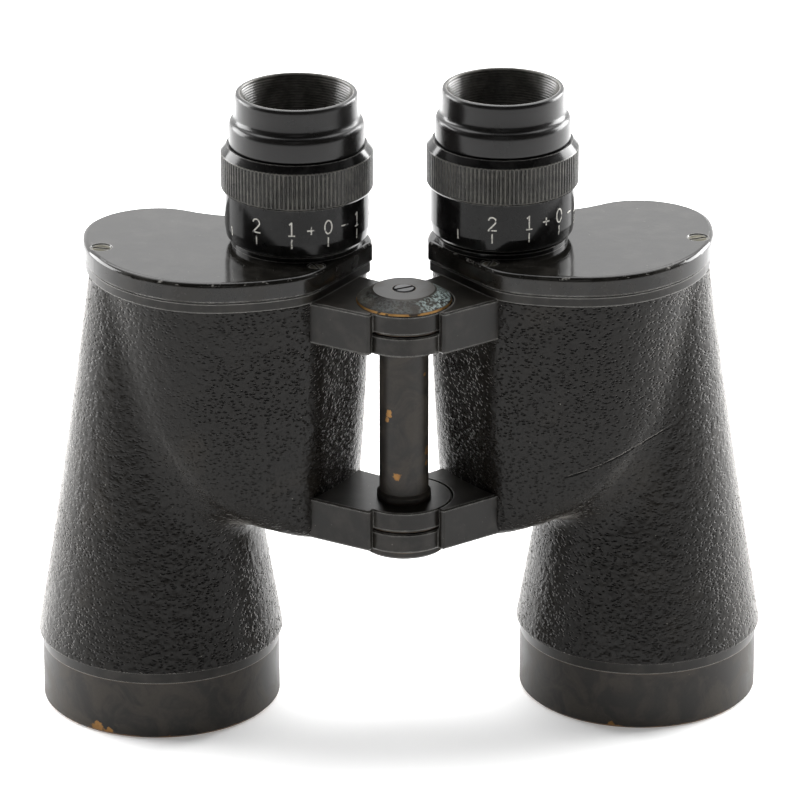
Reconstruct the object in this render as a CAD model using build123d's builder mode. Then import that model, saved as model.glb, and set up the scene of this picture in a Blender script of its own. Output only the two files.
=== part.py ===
"""Individual-focus Porro prism binoculars, standing on the objective rings.

Frame: millimetres, +Z up along the optical axes, -Y towards the hinge. The origin is on the
resting plane, below the middle of the object. The right telescope is modelled, and the left
one is its mirror image, apart from the hinge knuckles, which interleave.
"""
from build123d import *
import os
from math import cos, radians, sin, sqrt

os.makedirs("parts", exist_ok=True)

# ---------------------------------------------------------------- driving dimensions
eye_x = 28.3                # half the interpupillary distance, hinge closed
objective_x = 67.8          # half the distance between the objective axes
axis_y = 1.6                # optical axes, from the middle of the object's depth
hinge_y = axis_y - 24.5     # hinge axis
plate_top = 135.6
plate_bottom = 129.8
gasket = 0.4
rim_bottom = 126.8          # bare metal rim of the casting, above the leather
leather = 0.8               # thickness of the covering
wall = 2.2
leather_bottom = 20.4
ring_top = 16.9             # objective ring
ring_r = 33.5

# objective cone, outside of the leather
cone_foot_r = 34.6
cone_waist_r = 25.9
cone_top_r = 18.3
waist_z = (leather_bottom + rim_bottom) / 2

# hinge
knuckle_r = 13.3
axle_r = 4.0
running_gap = 0.05          # radial clearance of a running fit
bracket_height = 12.0
upper_bracket_z = 115.0
lower_bracket_z = 57.0
washer = 0.5

# eyepieces: reading of the dioptre scale in the resting position
reading = {"right": 1.64, "left": 0.84}
lowest_reading = -2.0
lift_per_dioptre = 0.65
stop_gap = 0.25
collar_r = 18.2
mount_foot_r = 16.0         # of the eyepiece mount, in the cover plate
mount_r = 17.0
mount_top = 149.4
bore_r = 14.6

# optics
shelf_z = 96.0
shelf_thickness = 2.5
beam_step = (objective_x - eye_x) / sqrt(2)     # sideways step of each prism
prism_half_width = 8.2
objective_r = 25.3
eye_lens_r = 12.55

eye = Vector(eye_x, axis_y)
objective = Vector(objective_x, axis_y)
turn = Vector((eye_x + objective_x) / 2, axis_y - (objective_x - eye_x) / 2)
hinge = Vector(0, hinge_y)


# ---------------------------------------------------------------- helpers
def at(point, z):
    """Horizontal plane at height z, with its origin over a point of the plan."""
    return Plane((point.X, point.Y, z))


def save(part, name):
    part.label = name
    export_step(part, f"parts/{name}.step")


def save_pair(part, name):
    save(part, f"right_{name}")
    save(part.mirror(Plane.YZ), f"left_{name}")


def group(pieces):
    """Several loose solids that share one node."""
    return Compound([solid for piece in pieces for solid in piece.solids()])


def ring(centre, z0, z1, outer, inner=0.0):
    """Plain ring or disc between two heights."""
    with BuildPart() as result:
        with BuildSketch(at(centre, z0)):
            Circle(outer)
            if inner:
                Circle(inner, mode=Mode.SUBTRACT)
        extrude(amount=z1 - z0)
    return result.part


def turned(centre, profile):
    """Solid of revolution about a vertical axis, from a closed list of (radius, height)."""
    with BuildPart() as result:
        with BuildSketch(Plane((centre.X, centre.Y, 0), x_dir=(1, 0, 0), z_dir=(0, -1, 0))):
            with BuildLine():
                Polyline(*profile, close=True)
            make_face()
        revolve(axis=Axis((centre.X, centre.Y, 0), (0, 0, 1)))
    return result.part


def slotted_screw(point, top, head_r, head_height, shank_r, shank_length, slot_angle):
    """Countersunk screw with a straight slot, its head flush at the given height."""
    with BuildPart() as screw:
        with BuildSketch(Plane((point.X, point.Y, 0), x_dir=(1, 0, 0), z_dir=(0, -1, 0))):
            with BuildLine():
                Polyline((0, top), (head_r, top), (shank_r, top - head_height),
                         (shank_r, top - head_height - shank_length),
                         (0, top - head_height - shank_length), close=True)
            make_face()
        revolve(axis=Axis((point.X, point.Y, 0), (0, 0, 1)))
        with BuildSketch(Plane((point.X, point.Y, top)).rotated((0, 0, slot_angle))):
            Rectangle(2 * head_r + 1, head_r * 0.3)
        extrude(amount=-0.8, mode=Mode.SUBTRACT)
    return screw.part


# ---------------------------------------------------------------- outline of the cover plate
plate_eye_r = 20.7
flat_distance = 18.25       # from the eyepiece axis to the flat that faces the hinge
flat_normal = Vector(-0.823, -0.569).normalized()
flat_along = Vector(flat_normal.Y * -1, flat_normal.X)
flat_foot = eye + flat_normal * flat_distance
flat_start = flat_foot - flat_along * sqrt(plate_eye_r**2 - flat_distance**2)
flat_end = flat_foot + flat_along * 14.6
back_bulge = [(50, -33), (70, -27), (84.5, -9), (87.5, 10), (80, 24.2), (68.5, 28.6), (58, 26),
              (46, 21.2), (30.5, 20.6)]
eye_side = eye + Vector(-plate_eye_r * cos(0.75), plate_eye_r * sin(0.75))

with BuildSketch() as plate_outline:
    with BuildLine():
        Line(flat_start, flat_end)
        edge = TangentArc(flat_end, Vector(31.0, axis_y - 29.6), tangent=flat_along)
        for x, y in back_bulge:
            edge = TangentArc(edge @ 1, Vector(x, axis_y + y), tangent=edge % 1)
        ThreePointArc(edge @ 1, eye_side, flat_start)
    make_face()


def outline(inset):
    """The plate's outline, drawn in by an inset."""
    with BuildSketch() as result:
        add(plate_outline.sketch)
        offset(amount=-inset)
    return result.sketch


# ---------------------------------------------------------------- body form
wall_inset = 1.2            # the leather stands in from the plate
wall_shift = Vector(-1.0, 0)
# below this height the wall beside the hinge post slopes away from it
gap_wall_top = (7.8, 101.0)
gap_wall_foot = (13.1, 40.0)
housing_floor = 46.0
# lower boundary of the housing, seen from the front: a gentle slope, a bend upwards, and a
# steeper slope behind the cone
underside_start = (-2, 47.6)
underside_bend = (38, 58.8)
underside_rise = (61, 71.4)
underside_run = 64


def wall_outline(inset):
    """Outline of the prism housing below the rim, drawn in from its leather surface."""
    return outline(wall_inset + inset).moved(Location(wall_shift))


def body_form(inset):
    """Outer form of one telescope body, drawn in by an inset: prism housing and cone."""
    with BuildPart() as form:
        with BuildSketch(Plane.XY.offset(housing_floor)):
            add(wall_outline(inset))
        extrude(amount=rim_bottom - housing_floor)
        with BuildSketch(Plane.XZ):
            with BuildLine():
                start, bend, rise = (Vector(x, z + inset) for x, z in
                                     (underside_start, underside_bend, underside_rise))
                slope = Line(start, bend)
                curve = TangentArc(bend, rise, tangent=slope % 1)
                end = rise + (curve % 1) * underside_run
                Polyline(rise, end, (end.X, 0), (start.X, 0), start)
            make_face()
            with BuildLine():
                (top_x, top_z), (foot_x, foot_z) = gap_wall_top, gap_wall_foot
                Polyline((0, top_z), (top_x + inset, top_z), (foot_x + inset, foot_z), (0, foot_z),
                         close=True)
            make_face()
        extrude(amount=120, both=True, mode=Mode.SUBTRACT)
        with BuildSketch(Plane((objective_x, axis_y, 0), x_dir=(1, 0, 0), z_dir=(0, -1, 0))):
            with BuildLine():
                Polyline((cone_top_r - inset, rim_bottom), (0, rim_bottom), (0, leather_bottom),
                         (cone_foot_r - inset, leather_bottom))
                ThreePointArc((cone_foot_r - inset, leather_bottom), (cone_waist_r - inset, waist_z),
                              (cone_top_r - inset, rim_bottom))
            make_face()
        revolve(axis=Axis((objective_x, axis_y, 0), (0, 0, 1)))
    return form.part


form_skin = body_form(0)
form_metal = body_form(leather)

with BuildPart() as rim_block:
    with BuildSketch(Plane.XY.offset(rim_bottom)):
        add(outline(0.6))
    extrude(amount=plate_bottom - gasket - rim_bottom)

# ---------------------------------------------------------------- hinge arms
arm_front = Vector(0.836, 0.549)                # along the front faces, away from the hinge
front_corner = Vector(10.1, axis_y - 36.1)
front_root = front_corner + arm_front * 25
front_inner = front_corner + Vector(-arm_front.Y, arm_front.X) * 4
to_wall = Vector(0.796, 0.604)                  # square to the flat of the body
to_back = Vector(-to_wall.Y, to_wall.X)
back_inner = hinge + to_wall * 9 + to_back * 8
back_root = hinge + to_wall * 26 + to_back * 8
knuckle_gap = 0.8                               # between the two halves of a knuckle


def hinge_arm(z, half):
    """One arm with its half knuckle, "lower" or "upper", for the bracket that starts at z."""
    half_height = (bracket_height - knuckle_gap) / 2
    own_z = z if half == "lower" else z + bracket_height - half_height
    other_z = z + half_height if half == "lower" else z
    other_height = bracket_height - half_height
    with BuildPart() as arm:
        with BuildSketch(Plane.XY.offset(z)):
            with BuildLine():
                Polyline(front_corner, front_root, back_root, back_inner, hinge, front_inner,
                         close=True)
            make_face()
        extrude(amount=bracket_height)
        fillet(arm.edges().filter_by(Axis.Z).sort_by(Axis.Y)[0], 0.9)
        chamfer(arm.edges().group_by(Axis.Z)[-1] + arm.edges().group_by(Axis.Z)[0], 0.5)
        with BuildSketch(at(hinge, other_z)):
            Circle(knuckle_r + 0.4)
        extrude(amount=other_height, mode=Mode.SUBTRACT)
    with BuildPart() as knuckle:
        with BuildSketch(at(hinge, own_z)):
            Circle(knuckle_r)
        extrude(amount=half_height)
        chamfer(knuckle.edges(), 0.4)
    return arm.part + knuckle.part


# ---------------------------------------------------------------- body casting and covering
spigot_r = 31.0
spigot_bore = 28.6
spigot_bottom = 5.0
screw_recess = 0.3          # of the cover screws' heads, below the plate's top
cover_head_radii = [2.75, 2.2, 2.2]
cover_slot_angles = [20, 70, 110]
cover_hole_r = 1.3
cover_screw_length = 8.2
cover_screw_places = [objective + Vector(14.6, -3), eye + Vector(-4.6, -20.1), eye + Vector(13.7, 17)]
shelf_screw_places = [objective + Vector(-1.8, 21.6), objective + Vector(6.7, -12.5),
                      eye + Vector(-7.8, -8)]
shelf_boss_radii = [3.0, 4.5, 2.6]
upper_centre = (objective + turn) * 0.5
lower_centre = (turn + eye) * 0.5
upper_along = (objective - turn).normalized()
lower_along = (turn - eye).normalized()
prism_gap = 0.15            # around the prism ends, which sit in pockets of the casting


def casting(half, axle_gap):
    with BuildPart() as cover_bosses:
        for place in cover_screw_places:
            with BuildSketch(at(place, plate_bottom - gasket)):
                Circle(3)
            extrude(amount=-11, taper=8)
        add(form_metal + rim_block.part, mode=Mode.INTERSECT)
    with BuildPart() as lower_cavity:
        add(body_form(leather + wall + 1.4))
        split(bisect_by=Plane.XY.offset(shelf_z), keep=Keep.BOTTOM)
    with BuildPart() as body:
        add(form_metal)
        add(rim_block.part)
        add(hinge_arm(upper_bracket_z, half))
        add(hinge_arm(lower_bracket_z, half))
        add(turned(objective, [(0, spigot_bottom), (spigot_r, spigot_bottom), (spigot_r, ring_top),
                               (ring_r, ring_top), (ring_r + 0.7, leather_bottom), (0, leather_bottom)]))
        with BuildSketch(Plane.XY.offset(shelf_z)):
            add(wall_outline(leather + wall))
        extrude(amount=plate_top - shelf_z, mode=Mode.SUBTRACT)
        add(lower_cavity.part, mode=Mode.SUBTRACT)
        with BuildSketch(at(objective, spigot_bottom)):
            Circle(spigot_bore)
        extrude(amount=leather_bottom - spigot_bottom, mode=Mode.SUBTRACT)
        for centre, along, depth in ((upper_centre, upper_along, 12), (lower_centre, lower_along, -16)):
            with BuildSketch(Plane((centre.X, centre.Y, shelf_z), x_dir=(along.X, along.Y, 0),
                                   z_dir=(0, 0, 1))):
                SlotCenterToCenter(beam_step, 2 * (prism_half_width + prism_gap))
            extrude(amount=depth, mode=Mode.SUBTRACT)
        add(cover_bosses.part)
        for place, radius in zip(shelf_screw_places, shelf_boss_radii):
            with BuildSketch(at(place, shelf_z)):
                Circle(radius)
            extrude(amount=-8)
        with Locations(*[(p.X, p.Y, plate_bottom - gasket) for p in cover_screw_places]):
            Hole(cover_hole_r, depth=3.4)
        with Locations(*[(p.X, p.Y, shelf_z) for p in shelf_screw_places]):
            Hole(1.0, depth=4.5)
        with BuildSketch(at(hinge, lower_bracket_z - 1)):
            Circle(axle_r + axle_gap)
        extrude(amount=upper_bracket_z + bracket_height + 2 - lower_bracket_z, mode=Mode.SUBTRACT)
    return body.part


right_casting = casting("lower", running_gap)
left_casting = casting("upper", 0)
save(right_casting, "right_body_casting")
save(left_casting.mirror(Plane.YZ), "left_body_casting")

loop_x = 72
loop_z = 111
loop_height = 6
loop_width = 20
loop_depth = 15
loop_bar = 2.4
loop_back = axis_y + 34.3
with BuildPart() as strap_loop:
    with BuildSketch(Plane.XY.offset(loop_z)):
        with Locations((loop_x, loop_back - loop_depth / 2)):
            Rectangle(loop_width, loop_depth)
        with Locations((loop_x, loop_back - loop_bar - loop_depth / 2)):
            Rectangle(loop_width - 2 * loop_bar, loop_depth, mode=Mode.SUBTRACT)
    extrude(amount=loop_height)
    fillet(strap_loop.edges().filter_by(Axis.Z).group_by(Axis.Y)[-1], 2.5)
    add(form_metal, mode=Mode.SUBTRACT)
save_pair(strap_loop.part, "strap_loop")

with BuildPart() as leather_cover:
    add(form_skin)
    add(form_metal, mode=Mode.SUBTRACT)
    add(hinge_arm(upper_bracket_z, "lower"), mode=Mode.SUBTRACT)
    add(hinge_arm(lower_bracket_z, "lower"), mode=Mode.SUBTRACT)
    add(strap_loop.part, mode=Mode.SUBTRACT)
save_pair(leather_cover.part, "leather_cover")

# ---------------------------------------------------------------- cover plate
with BuildPart() as cover_plate:
    with BuildSketch(Plane.XY.offset(plate_bottom)):
        add(outline(0))
    extrude(amount=plate_top - plate_bottom)
    fillet(cover_plate.edges().group_by(Axis.Z)[-1], 1.4)
    chamfer(cover_plate.edges().group_by(Axis.Z)[0], 0.4)
    with BuildSketch(at(eye, plate_bottom)):
        Circle(mount_foot_r)
    extrude(amount=plate_top - plate_bottom, mode=Mode.SUBTRACT)
    for place, head_r in zip(cover_screw_places, cover_head_radii):
        with Locations((place.X, place.Y, plate_top)):
            CounterSinkHole(cover_hole_r, head_r + screw_recess, counter_sink_angle=90)
save_pair(cover_plate.part, "cover_plate")

with BuildPart() as cover_gasket:
    with BuildSketch(Plane.XY.offset(plate_bottom - gasket)):
        add(outline(0.9))
        add(wall_outline(leather + wall), mode=Mode.SUBTRACT)
        for place in cover_screw_places:
            with Locations((place.X, place.Y)):
                Circle(cover_hole_r, mode=Mode.SUBTRACT)
    extrude(amount=gasket)
save_pair(cover_gasket.part, "cover_gasket")

cover_screws = group([
    slotted_screw(place, plate_top - screw_recess, head_r, head_r - cover_hole_r, cover_hole_r,
                  cover_screw_length - head_r, slot_angle)
    for place, head_r, slot_angle in zip(cover_screw_places, cover_head_radii, cover_slot_angles)])
save_pair(cover_screws, "cover_screws")

# ---------------------------------------------------------------- objective
ring_chamfer = 0.8
ring_lip_r = 26.4           # lip that holds the eccentric ring and the lens cell
mouth_r = 28.0
mouth_depth = 4.0
eccentric_ring_height = 10
cell_r = 27.4
cell_top = 15.5
cell_seat_z = 14.3          # shoulder above the flint lens
lens_joint_z = 10.6         # between the crown and the flint lens, at the edge
eccentricity = 0.3          # of the lens cell, for lining up the two telescopes
lens_axis = objective + Vector(eccentricity, 0)


def lens(centre, radius, bottom_edge, bottom_sag, top_edge, top_sag):
    """Round lens: a positive sag curves a face outwards, a negative one inwards."""
    def face(edge, middle):
        """Half of a lens face, from its edge to the axis."""
        sag = middle - edge
        if sag == 0:
            return Line((radius, edge), (0, middle))
        curve = (radius**2 + sag**2) / (2 * abs(sag))
        rise = (curve - sqrt(curve**2 - radius**2 / 4)) * (1 if sag > 0 else -1)
        return ThreePointArc((radius, edge), (radius / 2, middle - rise), (0, middle))

    low, high = bottom_edge - bottom_sag, top_edge + top_sag
    with BuildPart() as glass:
        with BuildSketch(Plane((centre.X, centre.Y, 0), x_dir=(1, 0, 0), z_dir=(0, -1, 0))):
            with BuildLine():
                face(bottom_edge, low)
                Line((radius, bottom_edge), (radius, top_edge))
                face(top_edge, high)
                Line((0, high), (0, low))
            make_face()
        revolve(axis=Axis((centre.X, centre.Y, 0), (0, 0, 1)))
    return glass.part


save_pair(turned(objective, [(mouth_r, 0), (ring_r - ring_chamfer, 0), (ring_r, ring_chamfer),
                             (ring_r, ring_top), (spigot_r, ring_top), (spigot_r, spigot_bottom),
                             (ring_lip_r, spigot_bottom), (ring_lip_r, mouth_depth),
                             (mouth_r, mouth_depth)]), "objective_ring")

with BuildPart() as eccentric_ring:
    with BuildSketch(at(objective, spigot_bottom)):
        Circle(spigot_bore)
        with Locations((eccentricity, 0)):
            Circle(cell_r, mode=Mode.SUBTRACT)
    extrude(amount=eccentric_ring_height)
save_pair(eccentric_ring.part, "eccentric_ring")

save_pair(turned(lens_axis, [(objective_r, spigot_bottom), (cell_r, spigot_bottom), (cell_r, cell_top),
                             (objective_r - 0.9, cell_top), (objective_r - 0.9, cell_seat_z),
                             (objective_r, cell_seat_z)]), "objective_cell")
save_pair(lens(lens_axis, objective_r, 8.8, 2.2, lens_joint_z, 2.0), "objective_crown_lens")
save_pair(lens(lens_axis, objective_r, lens_joint_z, -2.0, cell_seat_z, 0), "objective_flint_lens")
save_pair(ring(lens_axis, 5.4, 8.6, objective_r, objective_r - 1.1), "objective_retainer")

# ---------------------------------------------------------------- prisms
shelf_top = shelf_z + shelf_thickness
clamp_foot = 11.1           # clamp screws, from the middle of the prism
clamp_half = prism_half_width + 0.1
clamp_sheet = 0.8


def roof(centre, along, z, sign):
    """Right-angled prism lying on its long face; sign is +1 upwards and -1 downwards."""
    reach = beam_step
    with BuildPart() as prism:
        with BuildSketch(Plane((centre.X, centre.Y, z), x_dir=(along.X, along.Y, 0),
                               z_dir=(along.Y, -along.X, 0))):
            Polygon((-reach, 0), (reach, 0), (0, sign * reach), align=None)
        extrude(amount=prism_half_width, both=True)
        with BuildSketch(Plane((centre.X, centre.Y, z), x_dir=(along.X, along.Y, 0))):
            SlotCenterToCenter(beam_step, 2 * prism_half_width)
        extrude(amount=sign * reach, mode=Mode.INTERSECT)
    return prism.part


def clamp(centre, along, z, sign):
    """Bent strap over the ridge of a prism, with two feet on the shelf."""
    foot, side, high = clamp_foot + 1.8, clamp_half + clamp_sheet, beam_step + clamp_sheet
    with BuildPart() as strap:
        with BuildSketch(Plane((centre.X, centre.Y, z), x_dir=(-along.Y, along.X, 0),
                               z_dir=(along.X, along.Y, 0))):
            Polygon(*[(x, sign * y) for x, y in
                      [(-foot, 0), (-foot, clamp_sheet), (-side, clamp_sheet), (-side, high),
                       (side, high), (side, clamp_sheet), (foot, clamp_sheet), (foot, 0),
                       (clamp_half, 0), (clamp_half, beam_step), (-clamp_half, beam_step),
                       (-clamp_half, 0)]], align=None)
        extrude(amount=2.2, both=True)
        for end in (-1, 1):
            place = centre + Vector(-along.Y, along.X) * (end * clamp_foot)
            with BuildSketch(at(place, z - sign)):
                Circle(1.0)
            extrude(amount=sign * 3, mode=Mode.SUBTRACT)
    return strap.part


def cheese_screw(place, seat, sign, length):
    """Small cylinder-head screw, its head above (+1) or below (-1) the seat."""
    low, high = (seat - length, seat) if sign > 0 else (seat, seat + length)
    head_z = seat if sign > 0 else seat - 1.1
    return ring(place, low, high, 1.0) + ring(place, head_z, head_z + 1.1, 1.8)


upper_clamp_places = [upper_centre + Vector(-upper_along.Y, upper_along.X) * d
                      for d in (-clamp_foot, clamp_foot)]
lower_clamp_places = [lower_centre + Vector(-lower_along.Y, lower_along.X) * d
                      for d in (-clamp_foot, clamp_foot)]

with BuildPart() as prism_shelf:
    with BuildSketch(Plane.XY.offset(shelf_z)):
        add(wall_outline(leather + wall + 0.1))
        for place in (eye, objective, turn):
            with Locations((place.X, place.Y)):
                Circle(prism_half_width - 0.8, mode=Mode.SUBTRACT)
        for place in shelf_screw_places + upper_clamp_places + lower_clamp_places:
            with Locations((place.X, place.Y)):
                Circle(1.0, mode=Mode.SUBTRACT)
    extrude(amount=shelf_thickness)
save_pair(prism_shelf.part, "prism_shelf")
save_pair(roof(upper_centre, upper_along, shelf_top, 1), "upper_prism")
save_pair(roof(lower_centre, lower_along, shelf_z, -1), "lower_prism")
save_pair(group([clamp(upper_centre, upper_along, shelf_top, 1),
                 clamp(lower_centre, lower_along, shelf_z, -1)]), "prism_clamps")
save_pair(group(
    [cheese_screw(place, shelf_top, 1, 6) for place in shelf_screw_places]
    + [cheese_screw(place, shelf_top + clamp_sheet, 1, 3) for place in upper_clamp_places]
    + [cheese_screw(place, shelf_z - clamp_sheet, -1, 3) for place in lower_clamp_places]),
    "prism_screws")

# ---------------------------------------------------------------- eyepieces
key_width = 2.8
knurl_teeth = 108
knurl_r = 21.0
knurl_bottom = 14.4         # this and the next heights are above the foot of the focus ring
knurl_top = 24.3
collar_top = 26.5           # of the focus ring, under the eyecup
cup_seat = 30.8
eyecup_top = 41.3
skirt_r = 20.0
tube_r = 15.55
tube_flange_r = 17.5
tube_top = 25.8
tube_step = -3.5            # the tube narrows below the lens spacer
field_lens_r = 10.6
field_lens_edge = -9.5
eye_lens_edge = 17.6
spigot_wall_r = 17.2        # spigot of the focus ring, inside the eyecup
cup_foot_r = 18.7
cup_neck_r = 16.9
cup_mouth_r = 14.8
grub_r = 17.9               # joint between the eyecup and the spigot, where the set screws sit
grub_angles = (-4, 116, 236)
keyway_z = 138.4

with BuildPart() as eyepiece_mount:
    add(turned(eye, [(bore_r, plate_bottom), (mount_foot_r, plate_bottom), (mount_foot_r, plate_top),
                     (collar_r, plate_top), (collar_r, plate_top + 1.4), (mount_r, plate_top + 1.8),
                     (mount_r, mount_top), (bore_r, mount_top)]))
    with BuildSketch(at(eye + Vector(0, mount_foot_r), keyway_z)):
        Rectangle(key_width + 0.6, 5)
    extrude(amount=mount_top - keyway_z, mode=Mode.SUBTRACT)
save_pair(eyepiece_mount.part, "eyepiece_mount")


def save_eyepiece(side):
    """Everything that the focus movement carries, at the side's dioptre reading."""
    base = plate_top + stop_gap + (reading[side] - lowest_reading) * lift_per_dioptre

    def save_side(part, name):
        save(part if side == "right" else part.mirror(Plane.YZ), f"{side}_{name}")

    def lathe(profile):
        return turned(eye, [(r, base + z) for r, z in profile])

    # lens tube: slides in the mount and turns in the focus ring
    save_side(lathe([(9.8, -15.7), (12, -15.7), (12, -4.7), (bore_r - running_gap, -4.7),
                     (bore_r - running_gap, 14.1), (tube_flange_r, 14.1), (tube_flange_r, 14.9),
                     (tube_r, 14.9), (tube_r, tube_top), (eye_lens_r, tube_top),
                     (eye_lens_r, tube_step), (field_lens_r, tube_step), (field_lens_r, -14.5),
                     (9.8, -14.5)]), "lens_tube")
    save_side(lens(eye, field_lens_r, base - 13.4, 1.1, base + field_lens_edge, 0), "field_lens")
    save_side(lathe([(9.4, field_lens_edge), (field_lens_r, field_lens_edge),
                     (field_lens_r, tube_step), (eye_lens_r, tube_step),
                     (eye_lens_r, eye_lens_edge), (11.4, eye_lens_edge), (11.4, -3), (9.4, -3)]),
              "lens_spacer")
    save_side(lens(eye, eye_lens_r, base + eye_lens_edge, 0, base + 22.2, 1.1), "eye_lens")
    save_side(lathe([(11, 22.5), (eye_lens_r, 22.5), (eye_lens_r, tube_top), (16.9, tube_top),
                     (16.9, 27), (12.2, 27), (11, tube_top)]), "lens_retainer")
    with BuildPart() as key:
        with BuildSketch(at(eye + Vector(0, 15.6), base + 4)):
            Rectangle(key_width, 2.4)
        extrude(amount=5)
        with BuildSketch(at(eye, base + 4)):
            Circle(bore_r - running_gap)
        extrude(amount=5, mode=Mode.SUBTRACT)
    save_side(key.part, "focus_key")

    # focus ring and eyecup: they turn together
    screw_z = base + 29.2
    grub = [Cylinder(0.8, 1.4, rotation=(0, 90, 0)).moved(Location(
        (eye.X + grub_r * cos(radians(a)), eye.Y + grub_r * sin(radians(a)), screw_z), (0, 0, a)))
        for a in grub_angles]
    with BuildPart() as focus_ring:
        add(lathe([(18.5, 0), (19.2, 0), (19.6, 0.7), (skirt_r, 3.5), (skirt_r, 13.7), (20.6, 13.8),
                   (knurl_r, knurl_bottom), (knurl_r, knurl_top), (19.3, collar_top),
                   (grub_r, collar_top), (grub_r, cup_seat), (spigot_wall_r, cup_seat),
                   (spigot_wall_r, 25.5), (tube_r + 0.07, 25.5), (tube_r + 0.07, 15.2),
                   (18.5, 15.2)]))
        with BuildSketch(at(eye, base + knurl_bottom + 0.1)):
            with PolarLocations(knurl_r + 0.15, knurl_teeth):
                Rectangle(0.85, 0.85, rotation=45)
        extrude(amount=knurl_top - knurl_bottom - 0.1, mode=Mode.SUBTRACT)
        add(grub, mode=Mode.SUBTRACT)
    save_side(focus_ring.part, "focus_ring")
    with BuildPart() as eyecup:
        add(lathe([(grub_r, collar_top), (cup_foot_r - 0.2, collar_top), (cup_foot_r, 26.8),
                   (cup_foot_r, 32.2), (18.4, 32.9), (17.5, 33.6), (17, 34.6), (cup_neck_r, 35.9),
                   (cup_neck_r, 40.6), (16.6, 41.1), (16.1, eyecup_top), (15.6, eyecup_top),
                   (15.1, 41), (cup_mouth_r, 40.4), (cup_mouth_r, 30.9), (spigot_wall_r, 30.9),
                   (spigot_wall_r, cup_seat), (grub_r, cup_seat)]))
        add(grub, mode=Mode.SUBTRACT)
    save_side(eyecup.part, "eyecup")
    save_side(group(grub), "eyecup_set_screws")


save_eyepiece("right")
save_eyepiece("left")

# ---------------------------------------------------------------- hinge
washer_r = 12.4
washer_z = (bracket_height + knuckle_gap) / 2 - washer
bracket_top = upper_bracket_z + bracket_height
post_r = 6.8
post_foot_r = 7.5
nut_r = 12.2
nut_height = 2.1
cap_r = 13.1
cap_flat_r = 8.5
cap_height = 3.2
screw_r = 1.5
screw_head_r = 2.95
screw_seat_z = bracket_top + 2.2
screw_length = 9.7

save(ring(hinge, lower_bracket_z - 1.7, bracket_top, axle_r)
     - ring(hinge, upper_bracket_z + 4, bracket_top, screw_r), "hinge_axle")
post_bottom = lower_bracket_z + bracket_height
post_top = upper_bracket_z - 0.3
save(turned(hinge, [(axle_r, post_bottom), (post_foot_r, post_bottom), (post_foot_r, 70.6),
                    (post_r, 71.3), (post_r, post_top), (axle_r, post_top)]), "hinge_post")
save(group([ring(hinge, z + washer_z, z + washer_z + washer, washer_r, axle_r)
            for z in (lower_bracket_z, upper_bracket_z)]), "hinge_washers")
save(turned(hinge, [(screw_r, bracket_top), (cap_r, bracket_top), (cap_r - 0.2, bracket_top + 0.6),
                    (cap_flat_r + 0.4, bracket_top + cap_height - 0.2),
                    (cap_flat_r, bracket_top + cap_height),
                    (screw_head_r + 0.25, bracket_top + cap_height),
                    (screw_head_r + 0.25, screw_seat_z), (screw_r, screw_seat_z)]), "hinge_top_cap")
nut_top = lower_bracket_z - 0.3
save(turned(hinge, [(axle_r, nut_top - nut_height), (nut_r - 0.8, nut_top - nut_height),
                    (nut_r, nut_top - nut_height + 0.8), (nut_r, nut_top), (axle_r, nut_top)]),
     "hinge_bottom_nut")
with BuildPart() as cap_screw:
    add(turned(hinge, [(0, screw_seat_z - screw_length), (screw_r, screw_seat_z - screw_length),
                       (screw_r, screw_seat_z), (screw_head_r, screw_seat_z),
                       (screw_head_r, screw_seat_z + 0.9), (screw_head_r - 0.35, screw_seat_z + 1.2),
                       (0, screw_seat_z + 1.2)]))
    with BuildSketch(at(hinge, screw_seat_z + 1.2)):
        Rectangle(7, 0.9, rotation=25)
    extrude(amount=-0.7, mode=Mode.SUBTRACT)
save(cap_screw.part, "hinge_cap_screw")
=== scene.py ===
"""Looks of the individual-focus Porro prism binoculars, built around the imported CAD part.

Metres, in the part's own frame. The measurements below that are in millimetres say so, and
are turned into metres where a mesh is made. The right-hand telescope is worked out, and the
left one is its mirror image in the plane x = 0.
"""

from math import atan, atan2, cos, hypot, pi, radians, sin, tan

import bmesh
import bpy
import numpy as np
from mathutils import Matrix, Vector, noise
from mathutils.bvhtree import BVHTree


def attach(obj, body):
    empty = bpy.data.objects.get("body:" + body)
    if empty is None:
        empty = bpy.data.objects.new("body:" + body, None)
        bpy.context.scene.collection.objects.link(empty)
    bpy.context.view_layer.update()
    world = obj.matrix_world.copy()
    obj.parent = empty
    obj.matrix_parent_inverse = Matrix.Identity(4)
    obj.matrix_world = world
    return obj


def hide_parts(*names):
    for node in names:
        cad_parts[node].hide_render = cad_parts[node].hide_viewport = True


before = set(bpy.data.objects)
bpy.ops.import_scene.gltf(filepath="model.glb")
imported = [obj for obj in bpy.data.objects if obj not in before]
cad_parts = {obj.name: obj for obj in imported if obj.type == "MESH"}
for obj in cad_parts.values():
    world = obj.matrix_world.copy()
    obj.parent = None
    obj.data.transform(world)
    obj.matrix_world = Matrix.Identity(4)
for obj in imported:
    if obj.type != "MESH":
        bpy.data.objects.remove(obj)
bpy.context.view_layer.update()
scene = bpy.context.scene
scene.view_settings.view_transform = "Standard"

SIDES = {"right": 1, "left": -1}
MM = 0.001

# ------------------------------------------------------------------ measures, in millimetres
EYE_X, OBJECTIVE_X, AXIS_Y = 28.3, 67.8, 1.6
RIM_BOTTOM, LEATHER_BOTTOM, LEATHER = 126.8, 20.4, 0.8
CONE_FOOT_R, CONE_WAIST_R, CONE_TOP_R = 34.6, 25.9, 18.3
GAP_WALL_TOP, GAP_WALL_SLOPE = (7.8, 101.0), 0.087
WALL_INSET, WALL_SHIFT = 1.2, 1.0
READING = {"right": 1.64, "left": 0.84}
EYEPIECE_BASE = {side: 135.85 + (READING[side] + 2) * 0.65 for side in SIDES}


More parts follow.
